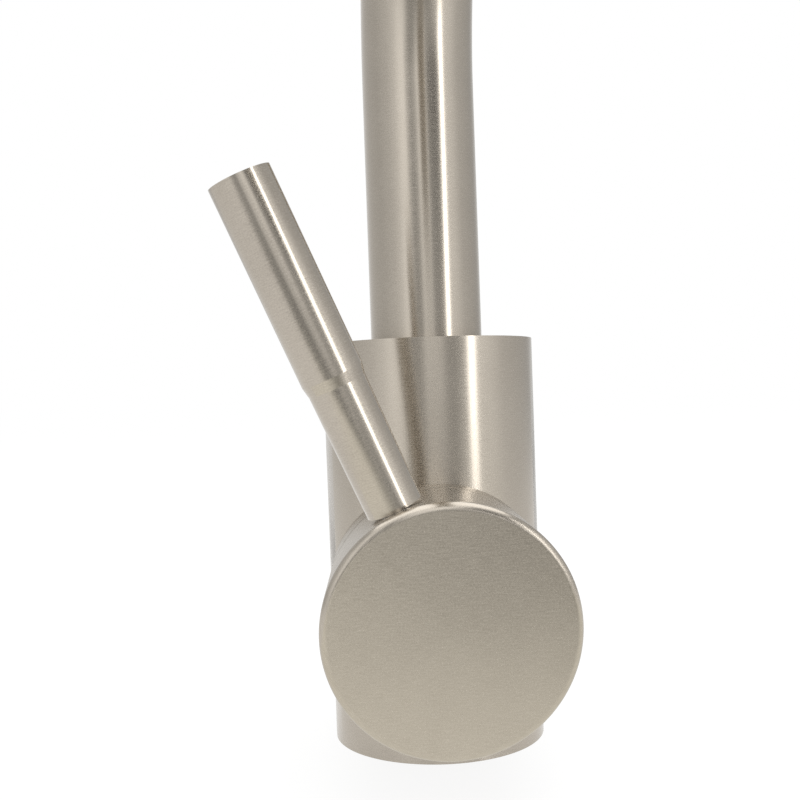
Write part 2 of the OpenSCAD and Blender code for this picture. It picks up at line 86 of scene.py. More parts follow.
SHELL_WALL = 3 * MM
TOP_PLATE = 3 * MM
FOOT_EDGE_R, TOP_EDGE_R, BARREL_EDGE_R = 0.25 * MM, 0.8 * MM, 0.15 * MM
TUBE_GAP = 0.4 * MM              # between the tube and the column's top plate
SCREW_GAP = 0.1 * MM             # round the screw that keeps the spout in
GASKET_INSET = 0.75 * MM
GASKET_H = 1.6 * MM

HUB_SLANT = math.radians(6)      # of the hub's face, and of the lever
HUB_LEN = 26.5 * MM
HUB_RIM_R = 1.4 * MM
HUB_REAR_EDGE = 0.2 * MM
HUB_WALL = 2.1 * MM
STEM_HOLE_HALF = 4.1 * MM        # half the square hole's width
STEM_HOLE_END = 3 * MM           # metal between that hole and the face
GRUB_HOLE_R = 2.1 * MM
PLUG_HOLE_R, PLUG_HOLE_DEPTH = 2.5 * MM, 2.7 * MM
STUD_HOLE_R = 3.1 * MM           # in the hub and in the lever's foot
STUD_FROM = 13.2 * MM            # where the hub's stud hole starts, from the hub's axis
STUD_IN_LEVER = 10 * MM

LEVER_BACK = 8.3 * MM            # from the hub's face to the lever's axis
SHANK_R = 5.45 * MM
GRIP_R = 5.85 * MM
LEVER_LEN = 89 * MM
SHOULDER_AT = 48.5 * MM
SHOULDER_LEN = 2 * MM
LEVER_FOOT_EDGE, SHOULDER_EDGE, GRIP_EDGE = 0.2 * MM, 0.4 * MM, 0.5 * MM

TUBE_WALL = 1.2 * MM
BEND_R = 62 * MM
OUTLET_LEG = 10 * MM
LIP_R = 0.3 * MM                 # of the outlet's two edges
SPOUT_TURN = math.radians(5)


def frame_sizes():
    """Radii, heights and angles that the frame itself tells, as one dict. What ends in _s is a
    distance out along the barrel, from the column's axis."""
    shell_low, shell_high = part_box("body_shell")
    hub_low, hub_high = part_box("hub")
    tube_low, tube_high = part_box("spout_tube")
    screw_low, screw_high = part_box("spout_set_screw")
    tilt = next(j for j in frame["joints"] if j["name"] == "flow_tilt")
    return {
        "column_r": shell_high.x, "column_h": shell_high.z, "barrel_len": -shell_low.y,
        "barrel_r": hub_high.x, "barrel_z": (hub_low.z + hub_high.z) / 2, "seam_s": -hub_high.y,
        "pin_s": -tilt["pos_m"][1], "lever_turn": math.atan2(tilt["axis"][2], tilt["axis"][0]),
        "open_tilt": math.radians(tilt["range_deg"][1]),
        "tube_r": tube_high.y, "tube_z": tube_low.z, "bend_z": tube_high.z - tube_high.y - BEND_R,
        "screw_z": (screw_low.z + screw_high.z) / 2, "screw_r": (screw_high.z - screw_low.z) / 2,
    }


size = frame_sizes()

# ---------------------------------------------------------------- places

COLUMN = Matrix.Identity(4)      # local z runs up the column
# Local z runs out along the barrel and local y is up, as on the barrel itself.
BARREL = Matrix.Translation((0, 0, size["barrel_z"])) @ Matrix.Rotation(math.pi / 2, 4, "X")
# The same, turned so that local y points along the lever.
HANDLE = BARREL @ Matrix.Rotation(size["lever_turn"], 4, "Z")
# Where the hub's axis meets its face and the lever's axis.
FACE_S = size["seam_s"] + HUB_LEN
LEVER_S = FACE_S - LEVER_BACK / math.cos(HUB_SLANT)
# Local z runs along the lever, from the hub's axis.
LEVER = (HANDLE @ Matrix.Translation((0, 0, LEVER_S))
         @ Matrix.Rotation(HUB_SLANT - math.pi / 2, 4, "X"))
SPOUT = Matrix.Rotation(SPOUT_TURN, 4, "Z")


def placed(points, place):
    """Points of any array shape, carried by the 4x4 matrix place."""
    m = np.array(place)
    return points @ m[:3, :3].T + m[:3, 3]


# ---------------------------------------------------------------- surfaces

BRUSH = "brush"                  # the UV map along and across the brushing, in metres


def round_angles(turns=TURNS):
    """Angles once round, from -pi to pi, with the closing one."""
    return np.linspace(-math.pi, math.pi, turns + 1)


def corners_of(grid):
    """The four corner values of each cell of a grid, in the order in which a face goes round it."""
    return np.stack([grid[:-1, :-1], grid[:-1, 1:], grid[1:, 1:], grid[1:, :-1]], axis=2)


def grid_mesh(name, grid):
    """A mesh with a face for each cell of a grid of points."""
    rows, columns = grid.shape[:2]
    index = np.arange(rows * columns).reshape(rows, columns)
    mesh = bpy.data.meshes.new(name)
    mesh.from_pydata(grid.reshape(-1, 3), [], corners_of(index).reshape(-1, 4))
    return mesh


def linked(name, data):
    """A new object with that data, put in the scene."""
    made = bpy.data.objects.new(name, data)
    bpy.context.scene.collection.objects.link(made)
    return made


def make_piece(name, grid, brush):
    """A closed mesh from a grid of points: rows follow a profile and columns go once round, the
    last column on the first. brush holds each cell's four corners: metres along the brushing, then
    across it. Rows that shrink to a point or meet again are merged."""
    mesh = grid_mesh(name, grid)
    mesh.uv_layers.new(name=BRUSH).data.foreach_set("uv", brush.astype(np.float32).ravel())
    work = bmesh.new()
    work.from_mesh(mesh)
    bmesh.ops.remove_doubles(work, verts=work.verts, dist=ONE_POINT)
    bmesh.ops.dissolve_degenerate(work, edges=work.edges, dist=NO_LENGTH)
    if work.calc_volume(signed=True) < 0:
        bmesh.ops.reverse_faces(work, faces=work.faces)
    work.to_mesh(mesh)
    work.free()
    return linked(name, mesh)


def softened(corners, radii):
    """A profile line through the corners, each rounded by an arc of its radius. The arc starts
    where a circle of that radius touches both sides, and a support point lies just outside each
    end. A radius of 0 leaves its corner sharp."""
    corners = np.asarray(corners, float)
    line = [corners[:1]]
    for before, corner, after, radius in zip(corners, corners[1:], corners[2:], radii):
        if radius == 0:
            line.append(corner[None])
            continue
        back = (before - corner) / np.linalg.norm(before - corner)
        ahead = (after - corner) / np.linalg.norm(after - corner)
        half = math.acos(np.clip(back @ ahead, -1, 1)) / 2
        middle = (back + ahead) / np.linalg.norm(back + ahead)
        centre = corner + middle * radius / math.sin(half)
        start = corner + back * radius / math.tan(half) - centre
        sweep = math.pi - 2 * half
        turn = np.sign(start[0] * ahead[1] - start[1] * ahead[0])
        a = turn * np.linspace(0, sweep, ARC_STEPS + 1)
        arc = centre + np.stack([start[0] * np.cos(a) - start[1] * np.sin(a),
                                 start[0] * np.sin(a) + start[1] * np.cos(a)], axis=1)
        line.append((arc[0] + back * SUPPORT)[None])
        line.append(arc)
        line.append((arc[-1] + ahead * SUPPORT)[None])
    line.append(corners[-1:])
    return np.concatenate(line)


def turned(name, profile, place, turns=TURNS):
    """A turned solid: the profile's (radius, height) points go round local z. The brushing runs
    round, and is counted both ways from local x, so that it meets itself opposite without a
    seam."""
    angle = round_angles(turns)
    r, h = profile[:, :1], profile[:, 1:]
    grid = np.stack([r * np.cos(angle), r * np.sin(angle), h + 0 * angle], axis=2)
    run = np.concatenate([[0], np.cumsum(np.linalg.norm(np.diff(profile, axis=0), axis=1))])
    brush = np.stack([r * np.abs(angle), run[:, None] + 0 * angle], axis=2)
    return make_piece(name, placed(grid, place), corners_of(brush))


def cylinder_tool(name, r, low, high, place, turns=RING_TURNS):
    """A plain round cutting tool between two heights on local z."""
    return turned(name, np.array([[0, low], [r, low], [r, high], [0, high]]), place, turns)


def carved(piece, *steps):
    """Joins tools to the piece or cuts them from it, given as (operation, tool) pairs, and then
    removes the tools."""
    for operation, tool in steps:
        cut = piece.modifiers.new(tool.name, "BOOLEAN")
        cut.object, cut.operation, cut.solver = tool, operation, "EXACT"
    now = piece.evaluated_get(bpy.context.evaluated_depsgraph_get())
    mesh = bpy.data.meshes.new_from_object(now)
    piece.modifiers.clear()
    old, piece.data = piece.data, mesh
    bpy.data.meshes.remove(old)
    mesh.name = piece.name
    for _, tool in steps:
        bpy.data.meshes.remove(tool.data)
    return piece


def dressed(piece, body, node, finish):
    """Smooths the piece up to its real edges and lets it stand for its CAD node on that body."""
    piece.data.shade_smooth()
    piece.data.set_sharp_from_angle(angle=SHARP_FROM)
    piece.data.materials.clear()
    piece.data.materials.append(finish)
    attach(piece, body)
    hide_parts(node)


# ---------------------------------------------------------------- pieces

def body_of_column_and_barrel():
    """The column and the barrel as one shell: two turned solids joined, then bored out."""
    column_r, barrel_r = size["column_r"], size["barrel_r"]
    height, reach = size["column_h"], size["barrel_len"]
    bore_r = column_r - SHELL_WALL
    column = turned("faucet_body", softened(
        [(0, 0), (column_r, 0), (column_r, height), (0, height)], (FOOT_EDGE_R, TOP_EDGE_R)),
        COLUMN)
    barrel = turned("barrel_tool", softened(
        [(0, REACH), (barrel_r, REACH), (barrel_r, reach), (0, reach)], (0, BARREL_EDGE_R)), BARREL)
    groove_in, groove_out = bore_r + GASKET_INSET, column_r - GASKET_INSET
    groove = turned("groove_tool", np.array([
        (groove_in, -REACH), (groove_out, -REACH), (groove_out, GASKET_H), (groove_in, GASKET_H),
        (groove_in, -REACH)]), COLUMN)
    screw_way = Matrix.Translation((0, 0, size["screw_z"])) @ Matrix.Rotation(-math.pi / 2, 4, "X")
    return carved(
        column,
        ("UNION", barrel),
        ("DIFFERENCE", cylinder_tool("column_bore", bore_r, -REACH, height - TOP_PLATE,
                                     COLUMN, TURNS)),
        ("DIFFERENCE", cylinder_tool("tube_hole", size["tube_r"] + TUBE_GAP, 0, height + REACH,
                                     COLUMN, TURNS)),
        ("DIFFERENCE", cylinder_tool("barrel_bore", barrel_r - SHELL_WALL, 0, reach + REACH,
                                     BARREL, TURNS)),
        ("DIFFERENCE", groove),
        ("DIFFERENCE", cylinder_tool("screw_hole", size["screw_r"] + SCREW_GAP, 0,
                                     column_r + REACH, screw_way)))


def hub_rear(y):
    """Height on the hub's axis where its rear ends: the seam, or below the axis the plane that
    meets the barrel when the handle is fully open."""
    tilt, gap = size["open_tilt"], size["seam_s"] - size["pin_s"]
    return np.maximum(size["seam_s"], size["pin_s"] + (gap - y * math.sin(tilt)) / math.cos(tilt))


def hub_mouth(angle):
    """Radius at each angle round the hub where its rear meets the cavity: the sphere about the pin
    is cut by each of the rear's two planes, and the nearer cut counts."""
    tilt, gap = size["open_tilt"], size["seam_s"] - size["pin_s"]
    cavity_r = size["barrel_r"] - HUB_WALL
    start, slope = gap / math.cos(tilt), -np.sin(angle) * math.tan(tilt)
    # Seen from the pin, the slanted plane is start + r * slope high. It meets the sphere where r
    # and that height, squared, add up to the sphere's radius squared.
    square = 1 + slope ** 2
    root = np.sqrt((start * slope) ** 2 - square * (start ** 2 - cavity_r ** 2))
    return np.minimum((root - start * slope) / square, math.sqrt(cavity_r ** 2 - gap ** 2))


def hub_block():
    """The hub: for each angle round its axis, a line that runs up the cavity, over the rear, along
    the side, round the rim and over the slanted face to its middle."""
    angle = round_angles()
    hub_r, cavity_r = size["barrel_r"], size["barrel_r"] - HUB_WALL
    slope = np.sin(angle) * math.tan(HUB_SLANT)
    lean = np.sqrt(1 + slope ** 2)

    mouth_r = hub_mouth(angle)
    mouth_h = hub_rear(mouth_r * np.sin(angle)) - size["pin_s"]
    polar = np.linspace(0, 1, CAVITY_STEPS + 1)[:, None] * np.arctan2(mouth_r, mouth_h)
    cavity = [cavity_r * np.sin(polar), size["pin_s"] + cavity_r * np.cos(polar)]

    full_r = np.full_like(angle, hub_r)
    rear_r = np.stack([mouth_r, full_r - HUB_REAR_EDGE, full_r])
    rear_h = hub_rear(rear_r * np.sin(angle)) + np.array([[0], [0], [HUB_REAR_EDGE]])

    rim_r = hub_r - HUB_RIM_R
    rim_h = FACE_S + rim_r * slope - HUB_RIM_R * lean
    bow = np.linspace(0, 1, 2 * ARC_STEPS + 1)[:, None] * (math.pi / 2 + np.arctan(slope))
    rim = [rim_r + HUB_RIM_R * np.cos(bow), rim_h + HUB_RIM_R * np.sin(bow)]
    side = [np.stack([full_r, full_r]), np.stack([rear_h[2] + SUPPORT, rim_h - SUPPORT])]

    inward = np.concatenate([[1 - SUPPORT / rim_r], np.linspace(FACE_FROM, 0, FACE_STEPS + 1)])
    face_r = inward[:, None] * rim[0][-1]
    face = [face_r, FACE_S + face_r * slope]

    r = np.concatenate([cavity[0], rear_r, side[0], rim[0], face[0]])
    s = np.concatenate([cavity[1], rear_h, side[1], rim[1], face[1]])
    grid = np.stack([r * np.cos(angle), r * np.sin(angle), s], axis=2)

    # The side is brushed round, and the face straight: level, while the lever is at rest.
    around = np.stack([r * np.abs(angle), s], axis=2)
    level = size["lever_turn"]
    straight = np.stack([grid[..., 0] * math.cos(level) - grid[..., 1] * math.sin(level),
                         grid[..., 0] * math.sin(level) + grid[..., 1] * math.cos(level)], axis=2)
    on_face = (np.arange(len(r) - 1) >= len(r) - len(face_r) - 1)[:, None, None, None]
    hub = make_piece("handle_hub", placed(grid, HANDLE),
                     np.where(on_face, corners_of(straight), corners_of(around)))

    low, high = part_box("index_plug")
    plug = HANDLE.inverted() @ ((low + high) / 2)
    plug_way = HANDLE @ Matrix.Translation((0, 0, plug.z)) @ Matrix.Rotation(math.pi / 2, 4, "X")
    stem_way = (HANDLE @ Matrix.Translation((0, 0, size["pin_s"]))
                @ Matrix.Rotation(math.pi / 4, 4, "Z"))
    stem_len = FACE_S - STEM_HOLE_END - size["pin_s"]
    return carved(
        hub,
        # With four points round, the tool is square.
        ("DIFFERENCE", cylinder_tool("stem_hole", STEM_HOLE_HALF * math.sqrt(2), 0, stem_len,
                                     stem_way, 4)),
        ("DIFFERENCE", cylinder_tool("grub_hole", GRUB_HOLE_R, 0, hub_r, plug_way)),
        ("DIFFERENCE", cylinder_tool("plug_hole", PLUG_HOLE_R, hub_r - PLUG_HOLE_DEPTH,
                                     hub_r + REACH, plug_way)),
        ("DIFFERENCE", cylinder_tool("stud_hole", STUD_HOLE_R, STUD_FROM, hub_r + REACH, LEVER)))


def lever():
    """The lever turned in one: a slim shank, a short taper and the thicker grip with a soft end."""
    foot = (size["barrel_r"] + SHANK_R * math.sin(HUB_SLANT)) / math.cos(HUB_SLANT)
    profile = softened(
        [(0, foot), (SHANK_R, foot), (SHANK_R, SHOULDER_AT), (GRIP_R, SHOULDER_AT + SHOULDER_LEN),
         (GRIP_R, LEVER_LEN), (0, LEVER_LEN)],
        (LEVER_FOOT_EDGE, SHOULDER_EDGE, SHOULDER_EDGE, GRIP_EDGE))
    rod = turned("lever_handle", profile, LEVER)
    return carved(rod, ("DIFFERENCE", cylinder_tool("lever_bore", STUD_HOLE_R, foot - REACH,
                                                    foot + STUD_IN_LEVER, LEVER)))


def spout():
    """The spout tube: rings square to a path that goes up, half round and down. The rings run along
    the outside, over the lip at the outlet and back along the bore."""
    rise = np.linspace(size["tube_z"], size["bend_z"], RISE_RINGS)
    bend = np.linspace(0, math.pi, BEND_STEPS + 1)[1:-1]
    fall = np.linspace(size["bend_z"], size["bend_z"] - OUTLET_LEG, FALL_RINGS)
    y = np.concatenate([0 * rise, BEND_R * (np.cos(bend) - 1), 0 * fall - 2 * BEND_R])
    z = np.concatenate([rise, size["bend_z"] + BEND_R * np.sin(bend), fall])
    lean = np.concatenate([0 * rise, bend, 0 * fall + math.pi])
    length = np.concatenate([[0], np.cumsum(np.hypot(np.diff(y), np.diff(z)))])

    cut = LIP_R * 0.3                            # about the middle of a quarter round
    lip_r = np.array([0, cut, LIP_R, TUBE_WALL - LIP_R, TUBE_WALL - cut, TUBE_WALL])
    lip_drop = np.array([-LIP_R, -cut, 0, 0, -cut, -LIP_R])
    last = len(y) - 1
    walk = np.concatenate([np.arange(last), np.full(len(lip_r), last),
                           np.arange(last - 1, -1, -1), [0]])
    inset = np.concatenate([np.zeros(last), lip_r, np.full(last, TUBE_WALL), [0]])
    drop = np.concatenate([np.zeros(last), lip_drop, np.zeros(last), [0]])

    angle = round_angles(TUBE_TURNS) - math.pi / 2
    across = size["tube_r"] - inset[:, None]
    out = across * np.sin(angle)                 # away from the middle of the bend
    tilt = lean[walk][:, None]
    grid = np.stack([across * np.cos(angle),
                     y[walk][:, None] + out * np.cos(tilt) - drop[:, None] * np.sin(tilt),
                     z[walk][:, None] + out * np.sin(tilt) + drop[:, None] * np.cos(tilt)], axis=2)
    brush = np.stack([across * np.abs(angle + math.pi / 2),
                      (length[walk] + drop + inset)[:, None] + 0 * angle], axis=2)
    return make_piece("gooseneck_tube", placed(grid, SPOUT), corners_of(brush))


# ---------------------------------------------------------------- finishes

def linear(code):
    """The linear colour of an sRGB hex code, with alpha 1."""
    value = np.array([int(code[i:i + 2], 16) for i in (1, 3, 5)]) / 255
    value = np.where(value <= 0.04045, value / 12.92, ((value + 0.055) / 1.055) ** 2.4)
    return (*value, 1)


def node(tree, kind, settings=None, **links):
    """Adds a node of that kind. settings are its own values or numbered inputs, and links name an
    input with a value or another node's output. Double underscores stand for spaces."""
    made = tree.nodes.new("ShaderNode" + kind)
    for key, value in (settings or {}).items():
        if isinstance(key, int):
            links[key] = value
        else:
            setattr(made, key, value)
    for key, value in links.items():
        socket = made.inputs[key if isinstance(key, int) else key.replace("__", " ")]
        if isinstance(value, bpy.types.NodeSocket):
            tree.links.new(value, socket)
        else:
            socket.default_value = value
    return made


def new_finish(name, **values):
    """A plain finish with those values of its shader set, as (material, tree, shader)."""
    finish = bpy.data.materials.new(name)
    finish.use_nodes = True
    tree = finish.node_tree
    shader = tree.nodes["Principled BSDF"]
    for key, value in values.items():
        shader.inputs[key.replace("__", " ")].default_value = value
    return finish, tree, shader


def between(tree, factor, low, high, start=0.0, end=1.0):
    """A number that goes from low to high as factor goes from start to end."""
    return node(tree, "MapRange", Value=factor, From__Min=start, From__Max=end, To__Min=low,
                To__Max=high).outputs[0]


def tinted(tree, factor, dark, light):
    """A colour that goes from the dark to the light hex code with factor."""
    mix = node(tree, "Mix", {"data_type": "RGBA", 6: linear(dark), 7: linear(light)}, Factor=factor)
    return mix.outputs[2]


# A belt of fine grit leaves 0.05 mm lines. They are drawn about four times as wide, to show.
LINE_WIDTH, LINE_LENGTH = 0.2 * MM, 2.5 * MM
GRAIN = 0.35 * MM                # of the fine sand between the lines
CLOUDS = 90.0                    # soft patches of light and dark in a metre
STEEL_DARK, STEEL_LIGHT = "#A8A095", "#C0B8AC"
UNEVEN_ROUGHNESS = 0.04          # the lines are this much rougher or smoother than the rest
LINE_DEPTH = 0.0005 * MM         # as the bump sees it, since the roughness stands for the rest


def brushed_steel(name, roughness=0.25, uneven=0.85):
    """Stainless steel 304 finished with a fine belt. The fine lines spread a reflection across them
    and keep it sharp along them, and they show as short streaks of light and dark."""
    # The tangent runs along the lines, and a quarter turn sets the spread across them.
    finish, tree, shader = new_finish(name, Metallic=1.0, Anisotropic=uneven,
                                      Anisotropic__Rotation=0.25)
    place = node(tree, "UVMap", {"uv_map": BRUSH}).outputs[0]
    lines = node(tree, "Mapping", Vector=place,
                 Scale=(1 / LINE_LENGTH, 1 / LINE_WIDTH, 1)).outputs[0]
    line = node(tree, "TexNoise", Vector=lines, Scale=1.0, Detail=2.0, Roughness=0.6).outputs[0]
    sand = node(tree, "TexNoise", Vector=place, Scale=1 / GRAIN, Detail=1.0).outputs[0]
    cloud = node(tree, "TexNoise", Vector=place, Scale=CLOUDS, Detail=2.0).outputs[0]
    # The two noises add up to 0.7 to 1.3 nearly everywhere. Most of the change in colour comes
    # from these streaks, and a little from the clouds.
    both = node(tree, "Math", {"operation": "ADD", 0: line, 1: sand}).outputs[0]
    streak = between(tree, both, 0.0, 1.0, 0.7, 1.3)
    shade = node(tree, "Math", {"operation": "MULTIPLY_ADD", 0: streak, 1: 0.55,
                                2: between(tree, cloud, 0.15, 0.3, 0.3, 0.7)}).outputs[0]
    rough = between(tree, streak, roughness - UNEVEN_ROUGHNESS, roughness + UNEVEN_ROUGHNESS)
    bump = node(tree, "Bump", Height=streak, Distance=LINE_DEPTH).outputs[0]
    tangent = node(tree, "Tangent", {"direction_type": "UV_MAP", "uv_map": BRUSH}).outputs[0]
    tree.links.new(tinted(tree, shade, STEEL_DARK, STEEL_LIGHT), shader.inputs["Base Color"])
    tree.links.new(rough, shader.inputs["Roughness"])
    tree.links.new(bump, shader.inputs["Normal"])
    tree.links.new(tangent, shader.inputs["Tangent"])
    return finish


def grained(name, dark, light, metallic, low, high, grain=0.4 * MM, bump=0.01 * MM):
    """A small piece's finish: an even grain of that size moves its colour from dark to light, its
    roughness from low to high, and its surface by the bump."""
    finish, tree, shader = new_finish(name, Metallic=metallic)
    place = node(tree, "TexCoord").outputs["Object"]
    grains = node(tree, "TexNoise", Vector=place, Scale=1 / grain, Detail=3.0).outputs[0]
    tree.links.new(tinted(tree, grains, dark, light), shader.inputs["Base Color"])
    tree.links.new(between(tree, grains, low, high), shader.inputs["Roughness"])
    tree.links.new(node(tree, "Bump", Height=grains, Distance=bump).outputs[0],
                   shader.inputs["Normal"])
    return finish


def small_finishes():
    """Finishes of the pieces inside and below, by the record's material slot."""
    return {
        # Turned and polished stainless: near mirror, with the last traces of the tool.
        "polished_dome": grained("polished_stainless", "#B3AFA8", "#BFBBB4", 1.0, 0.14, 0.20),
        # Stainless bar stock as machined.
        "bright_steel": grained("machined_stainless", "#B9B6B0", "#C9C6C0", 1.0, 0.24, 0.34),
        # Free-cutting brass as machined, a little dulled.
        "brass": grained("machined_brass", "#B8975A", "#CBAA69", 1.0, 0.26, 0.38),
        # Drawn copper pipe with a thin brown tarnish.
        "copper": grained("drawn_copper", "#B9785A", "#CC8C6C", 1.0, 0.28, 0.42, grain=1.5 * MM),
        # Moulded nitrile rubber: black and matte.
        "rubber": grained("nitrile_rubber", "#1E1E1F", "#2A2A2B", 0.0, 0.62, 0.78),
        # Moulded acetal: white, waxy.
        "white_plastic": grained("white_acetal", "#DADAD6", "#E6E6E2", 0.0, 0.38, 0.48),
        # Moulded glass-filled nylon of the cartridge.
        "grey_plastic": grained("grey_nylon", "#8C8E90", "#989A9C", 0.0, 0.46, 0.60),
        # Moulded ABS plug in a steel-like grey.
        "index_plastic": grained("plug_abs", "#A8A39C", "#B4AFA8", 0.0, 0.30, 0.40,
                                 bump=0.004 * MM),
        # Lapped alumina: cream, smooth.
        "ceramic": grained("alumina", "#EEEBE2", "#F6F3EA", 0.0, 0.12, 0.2, bump=0.001 * MM),
    }


# ---------------------------------------------------------------- studio

# Screens stand round the faucet, one over the other, and only reflections see them. Their cards
# shade from one to the next. Each card gives the degrees from the lens's side towards +X, then how
# bright it is there, where 1 is the white of the background.
SCREEN_R = 0.9
TABLE_CARDS_R, TABLE_CARDS_H = 0.28, 0.6 * MM
LEFT_CARDS = ((-180, 0.92), (-130, 0.74), (-95, 0.70), (-65, 0.85), (-50, 1.05), (-41, 1.36))
STRIP_LIGHT = ((40, 1.2), (42, 5.0), (48, 5.0), (50, 1.20))
RIGHT_CARDS = ((58, 1.18), (66, 1.12), (85, 0.80), (105, 0.70), (135, 0.56), (180, 0.92))
# Each screen has the radius and height of its two edges, and its cards. The first lies flat, just
# over the table and the lens's shade, and the last closes the studio above.
SCREENS = {
    "studio_table_cards": ((TABLE_CARDS_R, TABLE_CARDS_H), (SCREEN_R, TABLE_CARDS_H), (
        (-180, 0.98), (-45, 1.0), (-32, 0.9), (-22, 0.38), (-8, 0.34), (0, 0.42), (8, 0.55),
        (15, 0.45), (24, 0.45), (32, 0.95), (60, 1.0), (180, 0.98))),
    "studio_low_screen": ((SCREEN_R, 0.0), (SCREEN_R, 0.2), (
        *LEFT_CARDS, (-28, 1.44), (-22, 0.82), (-15, 0.54), (-8, 0.56), (-3, 0.96), (3, 0.88),
        (13, 0.92), (19, 0.68), (28, 0.57), (36, 0.85), *STRIP_LIGHT, *RIGHT_CARDS)),
    "studio_middle_screen": ((SCREEN_R, 0.2), (SCREEN_R, 0.32), (
        *LEFT_CARDS, (-31, 1.50), (-26, 0.72), (-17, 0.28), (-9, 0.46), (-4, 1.40), (3, 1.50),
        (13, 1.20), (18, 0.60), (35, 0.45), *STRIP_LIGHT, *RIGHT_CARDS)),
    "studio_upper_screen": ((SCREEN_R, 0.32), (SCREEN_R, 0.6), (
        *LEFT_CARDS, (-31, 1.55), (-26, 0.85), (-17, 0.50), (-9, 0.90), (-4, 1.60), (3, 1.80),
        (11, 1.50), (16, 0.20), (32, 0.03), (42, 0.05), (44.5, 5.0), (50, 5.0), (52, 1.20),
        *RIGHT_CARDS)),
    "studio_high_screen": ((SCREEN_R, 0.6), (SCREEN_R, 1.1), (
        (-180, 0.65), (-75, 0.65), (-50, 1.20), (-20, 1.20), (15, 1.45), (22, 0.50), (38, 0.50),
        (42, 1.10), (55, 1.00), (70, 0.65), (180, 0.65))),
    "studio_roof": ((SCREEN_R, 1.1), (0.0, 1.1), ((-180, 2.1), (180, 2.1))),
}
# The shade of the lens and its stand on the table, as the hub's face sees it: its middle, the radii
# where it is full and where it ends, and how bright the table looks at each of them.
SHADE_MIDDLE, SHADE_FULL, SHADE_END = (0.055, -0.205), 0.03, 0.12
SHADE_DARK, SHADE_LIGHT = 0.47, 1.10
SHADE_TINT = (1.0, 0.995, 0.94, 1)    # a little warm
SHADE_HALF, SHADE_LIFT = 0.17, 0.5 * MM    # half the sheet's side, and its height over the table

FLOOR_HALF = 15                  # far enough for its edge never to show
PAPER = (0.92, 0.92, 0.92, 1)
LIGHT_TABLE, LIGHT_SHARE = 1.022, 0.85     # how bright the lens sees it, and its share there
SKY_AS_LIGHT = 0.95              # of the white that the lens sees


def emitter(name):
    """An empty material for a stage piece, as (material, tree, output)."""
    finish = bpy.data.materials.new(name)
    finish.use_nodes = True
    finish.node_tree.nodes.clear()
    return finish, finish.node_tree, node(finish.node_tree, "OutputMaterial")


def background_rays(tree):
    """1 for a ray straight from the lens, from glossy metal or through glass, else 0."""
    rays = node(tree, "LightPath").outputs
    first = node(tree, "Math", {"operation": "MAXIMUM", 0: rays["Is Camera Ray"],
                                1: rays["Is Glossy Ray"]}).outputs[0]
    return node(tree, "Math", {"operation": "MAXIMUM", 0: first,
                               1: rays["Is Transmission Ray"]}).outputs[0]


def unseen(stage_piece):
    """Puts a card on the stage for reflections alone."""
    stage_piece.visible_camera = stage_piece.visible_diffuse = stage_piece.visible_shadow = False
    stage_piece.visible_transmission = False
    stage_piece.data.materials[0].cycles.emission_sampling = "NONE"


def screen(name, low, high, cards):
    """An open ring between two edges, given as (radius, height), whose brightness goes from card to
    card with the bearing round the faucet."""
    angle = round_angles(RING_TURNS)
    mesh = grid_mesh(name, np.stack([
        np.stack([r * np.cos(angle), r * np.sin(angle), 0 * angle + h], axis=1)
        for r, h in (low, high)]))
    finish, tree, output = emitter(name)
    part = node(tree, "SeparateXYZ", Vector=node(tree, "TexCoord").outputs["Object"]).outputs
    ahead = node(tree, "Math", {"operation": "MULTIPLY", 0: part[1], 1: -1.0}).outputs[0]
    bearing = node(tree, "Math", {"operation": "ARCTAN2", 0: part[0], 1: ahead}).outputs[0]
    share = between(tree, bearing, 0.0, 1.0, -math.pi, math.pi)
    ramp = node(tree, "ValToRGB", Fac=share)
    brightest = max(level for _, level in cards)
    stops = ramp.color_ramp.elements
    while len(stops) < len(cards):
        stops.new(0.5)                           # each gets its own position below
    for stop, (degrees, level) in zip(stops, cards):
        stop.position = degrees / 360 + 0.5
        stop.color = (level / brightest,) * 3 + (1,)
    glow = node(tree, "Emission", Color=ramp.outputs[0], Strength=brightest).outputs[0]
    tree.links.new(glow, output.inputs[0])
    mesh.materials.append(finish)
    unseen(linked(name, mesh))


def level_sheet(name, x, y, z, half, finish):
    """A level square for the stage: its middle and half its side."""
    corners = ((-half, -half), (half, -half), (half, half), (-half, half))
    mesh = bpy.data.meshes.new(name)
    mesh.from_pydata([(x + a, y + b, z) for a, b in corners], [], [(0, 1, 2, 3)])
    mesh.materials.append(finish)
    return linked(name, mesh)


def lens_shade():
    """The shade of the lens and its stand on the table: darkest in the middle, gone at the rim."""
    finish, tree, output = emitter("lens_shade")
    place = node(tree, "TexCoord").outputs["Object"]
    from_middle = node(tree, "VectorMath", {"operation": "DISTANCE", 0: place,
                                            1: (*SHADE_MIDDLE, 0.0)}).outputs["Value"]
    level = between(tree, from_middle, SHADE_DARK, SHADE_LIGHT, SHADE_FULL, SHADE_END)
    tree.links.new(node(tree, "Emission", Color=SHADE_TINT, Strength=level).outputs[0],
                   output.inputs[0])
    unseen(level_sheet("studio_lens_shade", *SHADE_MIDDLE, SHADE_LIFT, SHADE_HALF, finish))


def floor():
    """A plain white table. The lens and glossy metal see most of it as a light table, so that only
    a soft shadow shows."""
    finish, tree, output = emitter("white_table")
    paper = node(tree, "BsdfDiffuse", Color=PAPER).outputs[0]
    light = node(tree, "Emission", Color=(1, 1, 1, 1), Strength=LIGHT_TABLE).outputs[0]
    share = between(tree, background_rays(tree), 0.0, LIGHT_SHARE)
    mixed = node(tree, "MixShader", {0: share, 1: paper, 2: light}).outputs[0]
    tree.links.new(mixed, output.inputs[0])
    level_sheet("studio_floor", 0, 0, 0, FLOOR_HALF, finish)


